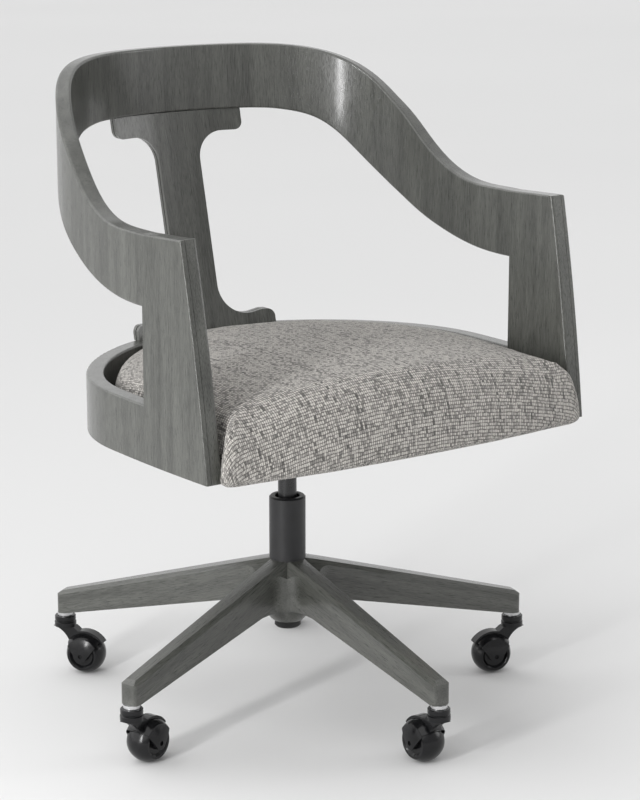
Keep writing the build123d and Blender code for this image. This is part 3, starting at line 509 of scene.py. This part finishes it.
def stuff(thing):
    """Swells a tight cover over the foam, with its underside held on the board."""
    foam_places = places_of(thing.data)
    normals = np.array([vertex.normal for vertex in thing.data.vertices])
    before = foam_places - PAD_STUFFING * normals
    set_places(thing.data, before)
    held = thing.vertex_groups.new(name="held")
    over_board = before[:, 1] > PAD_BOARD_EDGE_Y
    held_below = np.where(over_board, PAD_BOARD_TOP + PAD_HELD_OVER_BOARD, PAD_HELD_BELOW)
    under = np.flatnonzero(before[:, 2] < held_below)
    held.add([int(i) for i in under], 1.0, "REPLACE")
    cloth = thing.modifiers.new("stuffing", "CLOTH")
    cloth.settings.use_pressure = True
    cloth.settings.uniform_pressure_force = PAD_PRESSURE
    cloth.settings.effector_weights.gravity = 0.0
    cloth.settings.vertex_group_mass = "held"
    cloth.settings.quality = 5
    scene = bpy.context.scene
    for step in range(1, PAD_STEPS + 1):
        scene.frame_set(step)
    swollen = thing.evaluated_get(bpy.context.evaluated_depsgraph_get()).data
    moved = places_of(swollen) - before
    thing.modifiers.clear()
    scene.frame_set(1)
    length = np.linalg.norm(moved, axis=1)
    share = np.minimum(1.0, PAD_SWELL / np.maximum(length, 1e-9))
    swell = before + moved * share[:, None] - foam_places
    set_places(thing.data, foam_places + PAD_GIVE * swell)


def kept_inside(thing, outline):
    """Pulls the cover back from the apron's wall and up from the board."""
    outward = outward_from(outline)
    rows = places_of(thing.data)
    for i, row in enumerate(rows):
        nearest = int(np.argmin(((outline - row[:2]) ** 2).sum(axis=1)))
        past = float((row[:2] - outline[nearest]) @ outward[nearest])
        if past > 0:
            rows[i, :2] = row[:2] - past * outward[nearest]
    low = (rows[:, 1] > PAD_BOARD_EDGE_Y) & (rows[:, 2] < PAD_BOARD_TOP)
    rows[low, 2] = PAD_BOARD_TOP
    set_places(thing.data, rows)


def lay_weave(mesh, surface, corners, cloth_place, faces):
    """Stores each point's place in the flat cloth, read from the nearest spot of the foam."""
    weave = mesh.attributes.new("weave", "FLOAT_VECTOR", "POINT")
    for i, row in enumerate(places_of(mesh)):
        spot, _, face, _ = surface.find_nearest(Vector(row))
        ring = faces[face]
        weights = poly_3d_calc([Vector(corners[k]) for k in ring], spot)
        x, y = (np.array(weights)[:, None] * cloth_place[ring]).sum(axis=0)
        weave.data[i].vector = (x, y, 0.0)


outline = pad_outline()
foam_rings, cloth_rings = pad_rings(outline)
foam_points = foam_rings.reshape(-1, 3)
faces = pad_faces(len(foam_rings))
foam = BVHTree.FromPolygons([tuple(row) for row in foam_points], faces)
pad_mesh = bpy.data.meshes.new("seat_pad")
pad_mesh.from_pydata([tuple(row) for row in foam_points], [], faces)
pad = bpy.data.objects.new("seat_pad", pad_mesh)
bpy.context.scene.collection.objects.link(pad)
shaped(pad, "REMESH", mode="VOXEL", voxel_size=PAD_VOXEL)
stuff(pad)
shaped(pad, "SMOOTH", factor=0.5, iterations=2)
kept_inside(pad, outline)
shaped(pad, "SUBSURF", levels=1)
lay_weave(pad.data, foam, foam_points, cloth_rings.reshape(-1, 2), faces)
pad.data.shade_smooth()

STITCH_WIDTH = 0.0029
STITCH_HEIGHT = 0.0042
YARN_PALE = (0.690, 0.658, 0.616, 1.0)
YARN_GREY = (0.290, 0.278, 0.262, 1.0)
YARN_DARK = (0.110, 0.106, 0.101, 1.0)
# Dark tone painted into the low gaps between stitches as painted shade.
WEAVE_GAP_PAINTED_SHADE = (0.075, 0.072, 0.068, 1.0)
WEAVE_WAVER = 0.0034
FLAT_STITCH_CHANCE = 0.35
FLAT_STITCH_HEIGHT = 0.6
basket_weave, weave_tree, weave_shader = new_finish("basket_weave")
cloth_place = place(weave_tree, "ShaderNodeAttribute", attribute_name="weave").outputs["Vector"]
wander = cloudy(weave_tree, cloth_place, 75.0, 4.0).outputs["Color"]
waver = scaled(weave_tree, wander, (WEAVE_WAVER, WEAVE_WAVER, 0.0))
loose = place(weave_tree, "ShaderNodeVectorMath", {0: cloth_place, 1: waver}, operation="ADD").outputs[0]
counted = scaled(weave_tree, loose, (1 / STITCH_WIDTH, 1 / STITCH_HEIGHT, 0.0))
stitch = place(weave_tree, "ShaderNodeVectorMath", {0: counted}, operation="FLOOR").outputs[0]
within = place(weave_tree, "ShaderNodeVectorMath", {0: counted}, operation="FRACTION").outputs[0]
within_axes = place(weave_tree, "ShaderNodeSeparateXYZ", {0: within}).outputs
stitch_axes = place(weave_tree, "ShaderNodeSeparateXYZ", {0: stitch}).outputs
across_row = sum_of(weave_tree, "PINGPONG", sum_of(weave_tree, "MULTIPLY", within_axes[1], 2.0), 1.0)
along_row = sum_of(weave_tree, "PINGPONG", sum_of(weave_tree, "MULTIPLY", within_axes[0], 2.0), 1.0)
chance = place(weave_tree, "ShaderNodeTexWhiteNoise", {"Vector": stitch}, noise_dimensions="2D")
chance_parts = place(weave_tree, "ShaderNodeSeparateColor", {0: chance.outputs["Color"]}).outputs
warp_chance = place(weave_tree, "ShaderNodeTexWhiteNoise", {"W": stitch_axes[0]}, noise_dimensions="1D")
warp = warp_chance.outputs["Value"]
row_floor = ranged(weave_tree, chance_parts[2], FLAT_STITCH_CHANCE, 1.0, 0.0, FLAT_STITCH_HEIGHT)
row = ranged(weave_tree, across_row, 0.0, 0.50, row_floor, 1.0)
gap_floor = ranged(weave_tree, chance_parts[1], FLAT_STITCH_CHANCE, 1.0, 0.0, FLAT_STITCH_HEIGHT)
gap = ranged(weave_tree, along_row, 0.0, 0.50, gap_floor, 1.0)
stitch_height = sum_of(weave_tree, "MULTIPLY", row, gap)
fuzz = cloudy(weave_tree, cloth_place, 1300.0, 3.0).outputs[0]
darkness = sum_of(weave_tree, "ADD", chance_parts[0], ranged(weave_tree, warp, 0.70, 0.95, 0.0, 0.30))
yarn = tinted(weave_tree, ranged(weave_tree, darkness, 0.45, 1.15), YARN_PALE, YARN_DARK)
fuzzed = tinted(weave_tree, ranged(weave_tree, fuzz, 0.42, 0.70, 0.0, 0.6), yarn, YARN_GREY)
# Painted shade: the yarn colour darkens toward the gap tone where the stitches sink between their
# neighbours.
with_painted_gap_shade = tinted(weave_tree, stitch_height, WEAVE_GAP_PAINTED_SHADE, fuzzed)
weave_tree.links.new(with_painted_gap_shade, weave_shader.inputs["Base Color"])
relief = place(weave_tree, "ShaderNodeBump", {"Strength": 0.7, "Distance": 0.0010, "Height": stitch_height})
weave_tree.links.new(relief.outputs[0], weave_shader.inputs["Normal"])
weave_tree.links.new(ranged(weave_tree, fuzz, 0.3, 0.7, 0.82, 0.95), weave_shader.inputs["Roughness"])
weave_shader.inputs["Specular IOR Level"].default_value = 0.2
weave_shader.inputs["Sheen Weight"].default_value = 0.15
pad.data.materials.clear()
pad.data.materials.append(basket_weave)
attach(pad, "seat")
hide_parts("seat_cushion")


# Floor
# A plain pale studio sweep, level under the wheels. It is matt, so it takes the chair's soft shadow
# and mirrors nothing.

FLOOR_SIZE = 60.0
FLOOR_DULL = (0.77, 0.77, 0.77, 1.0)
FLOOR_PALE = (0.80, 0.80, 0.80, 1.0)
floor_mesh = bpy.data.meshes.new("studio_floor")
half = FLOOR_SIZE / 2
floor_mesh.from_pydata(
    [(-half, -half, 0), (half, -half, 0), (half, half, 0), (-half, half, 0)], [], [(0, 1, 2, 3)]
)
floor = bpy.data.objects.new("studio_floor", floor_mesh)
bpy.context.scene.collection.objects.link(floor)
floor_finish, floor_tree, floor_shader = new_finish("studio_floor")
floor_place = place(floor_tree, "ShaderNodeTexCoord").outputs["Object"]
floor_tone = cloudy(floor_tree, floor_place, 0.7, 1.0).outputs[0]
floor_colour = tinted(floor_tree, floor_tone, FLOOR_DULL, FLOOR_PALE)
floor_tree.links.new(floor_colour, floor_shader.inputs["Base Color"])
floor_shader.inputs["Roughness"].default_value = 0.9
floor_shader.inputs["Specular IOR Level"].default_value = 0.1
floor_mesh.materials.append(floor_finish)


# Studio light and camera
# Soft light from overhead, a tall strip light on the sitter's right and a weak fill on the left, in a
# pale room that is brighter behind the chair. The camera stands low, off the sitter's front right
# corner, with a long lens, as in the photograph.

CAMERA_TARGET = Vector((0.0342, -0.0244, 0.3963))
CAMERA_DISTANCE = 3.183
CAMERA_AZIMUTH = radians(-35.54)
CAMERA_ELEVATION = radians(13.704)
CAMERA_LENS_MM = 112.44
SENSOR_MM = 36.0
OVERHEAD_PLACE = (-2.4, 0.5, 3.4)
OVERHEAD_STRENGTH = 2.2
OVERHEAD_SPREAD = radians(110)
AWAY_FROM_CAMERA = (0.58, 0.81, 0.0)
ROOM_TURN = (-0.6, 0.8)
ROOM_LIGHT = (0.18, 0.62)
ROOM_SEEN = (0.55, 0.95)


def aim(thing, target):
    """Points a lamp or camera at a place."""
    thing.rotation_euler = (Vector(target) - thing.location).to_track_quat("-Z", "Y").to_euler()


def softbox(name, location, target, width, height, power):
    """A rectangular softbox."""
    light = bpy.data.lights.new(name, "AREA")
    light.shape = "RECTANGLE"
    light.size = width
    light.size_y = height
    light.energy = power
    lamp = bpy.data.objects.new(name, light)
    lamp.location = location
    lamp.visible_camera = False
    bpy.context.scene.collection.objects.link(lamp)
    aim(lamp, target)


softbox("left_strip", (-2.06, -0.74, 0.95), (0, 0, 0.95), width=0.15, height=1.55, power=28.0)
softbox("right_fill", (2.6, -1.7, 1.4), (0, 0, 0.5), width=1.2, height=1.6, power=15.0)
overhead = bpy.data.lights.new("overhead_light", "SUN")
overhead.energy = OVERHEAD_STRENGTH
overhead.angle = OVERHEAD_SPREAD
overhead_lamp = bpy.data.objects.new("overhead_light", overhead)
overhead_lamp.location = OVERHEAD_PLACE
bpy.context.scene.collection.objects.link(overhead_lamp)
aim(overhead_lamp, (0, 0, 0))

world = bpy.data.worlds.new("pale_room")
bpy.context.scene.world = world
world.use_nodes = True
world_tree = world.node_tree
background = world_tree.nodes["Background"]
ray = place(world_tree, "ShaderNodeLightPath").outputs
seen = sum_of(world_tree, "MAXIMUM", ray["Is Camera Ray"], ray["Is Glossy Ray"])
seen = sum_of(world_tree, "MAXIMUM", seen, ray["Is Transmission Ray"])
outlook = place(world_tree, "ShaderNodeTexCoord").outputs["Generated"]
turn = {0: outlook, 1: AWAY_FROM_CAMERA}
behind = place(world_tree, "ShaderNodeVectorMath", turn, operation="DOT_PRODUCT").outputs["Value"]
lighting = ranged(world_tree, behind, *ROOM_TURN, *ROOM_LIGHT)
scenery = ranged(world_tree, behind, *ROOM_TURN, *ROOM_SEEN)
world_tree.links.new(ranged(world_tree, seen, 0.0, 1.0, lighting, scenery), background.inputs["Strength"])
background.inputs["Color"].default_value = (1.0, 1.0, 1.0, 1.0)

camera_data = bpy.data.cameras.new("photo_camera")
camera_data.lens = CAMERA_LENS_MM
camera_data.sensor_width = SENSOR_MM
camera = bpy.data.objects.new("photo_camera", camera_data)
level = cos(CAMERA_ELEVATION)
direction = Vector((sin(CAMERA_AZIMUTH) * level, -cos(CAMERA_AZIMUTH) * level, sin(CAMERA_ELEVATION)))
camera.location = CAMERA_TARGET + CAMERA_DISTANCE * direction
bpy.context.scene.collection.objects.link(camera)
aim(camera, CAMERA_TARGET)
bpy.context.scene.camera = camera
bpy.context.scene.view_settings.view_transform = "Standard"
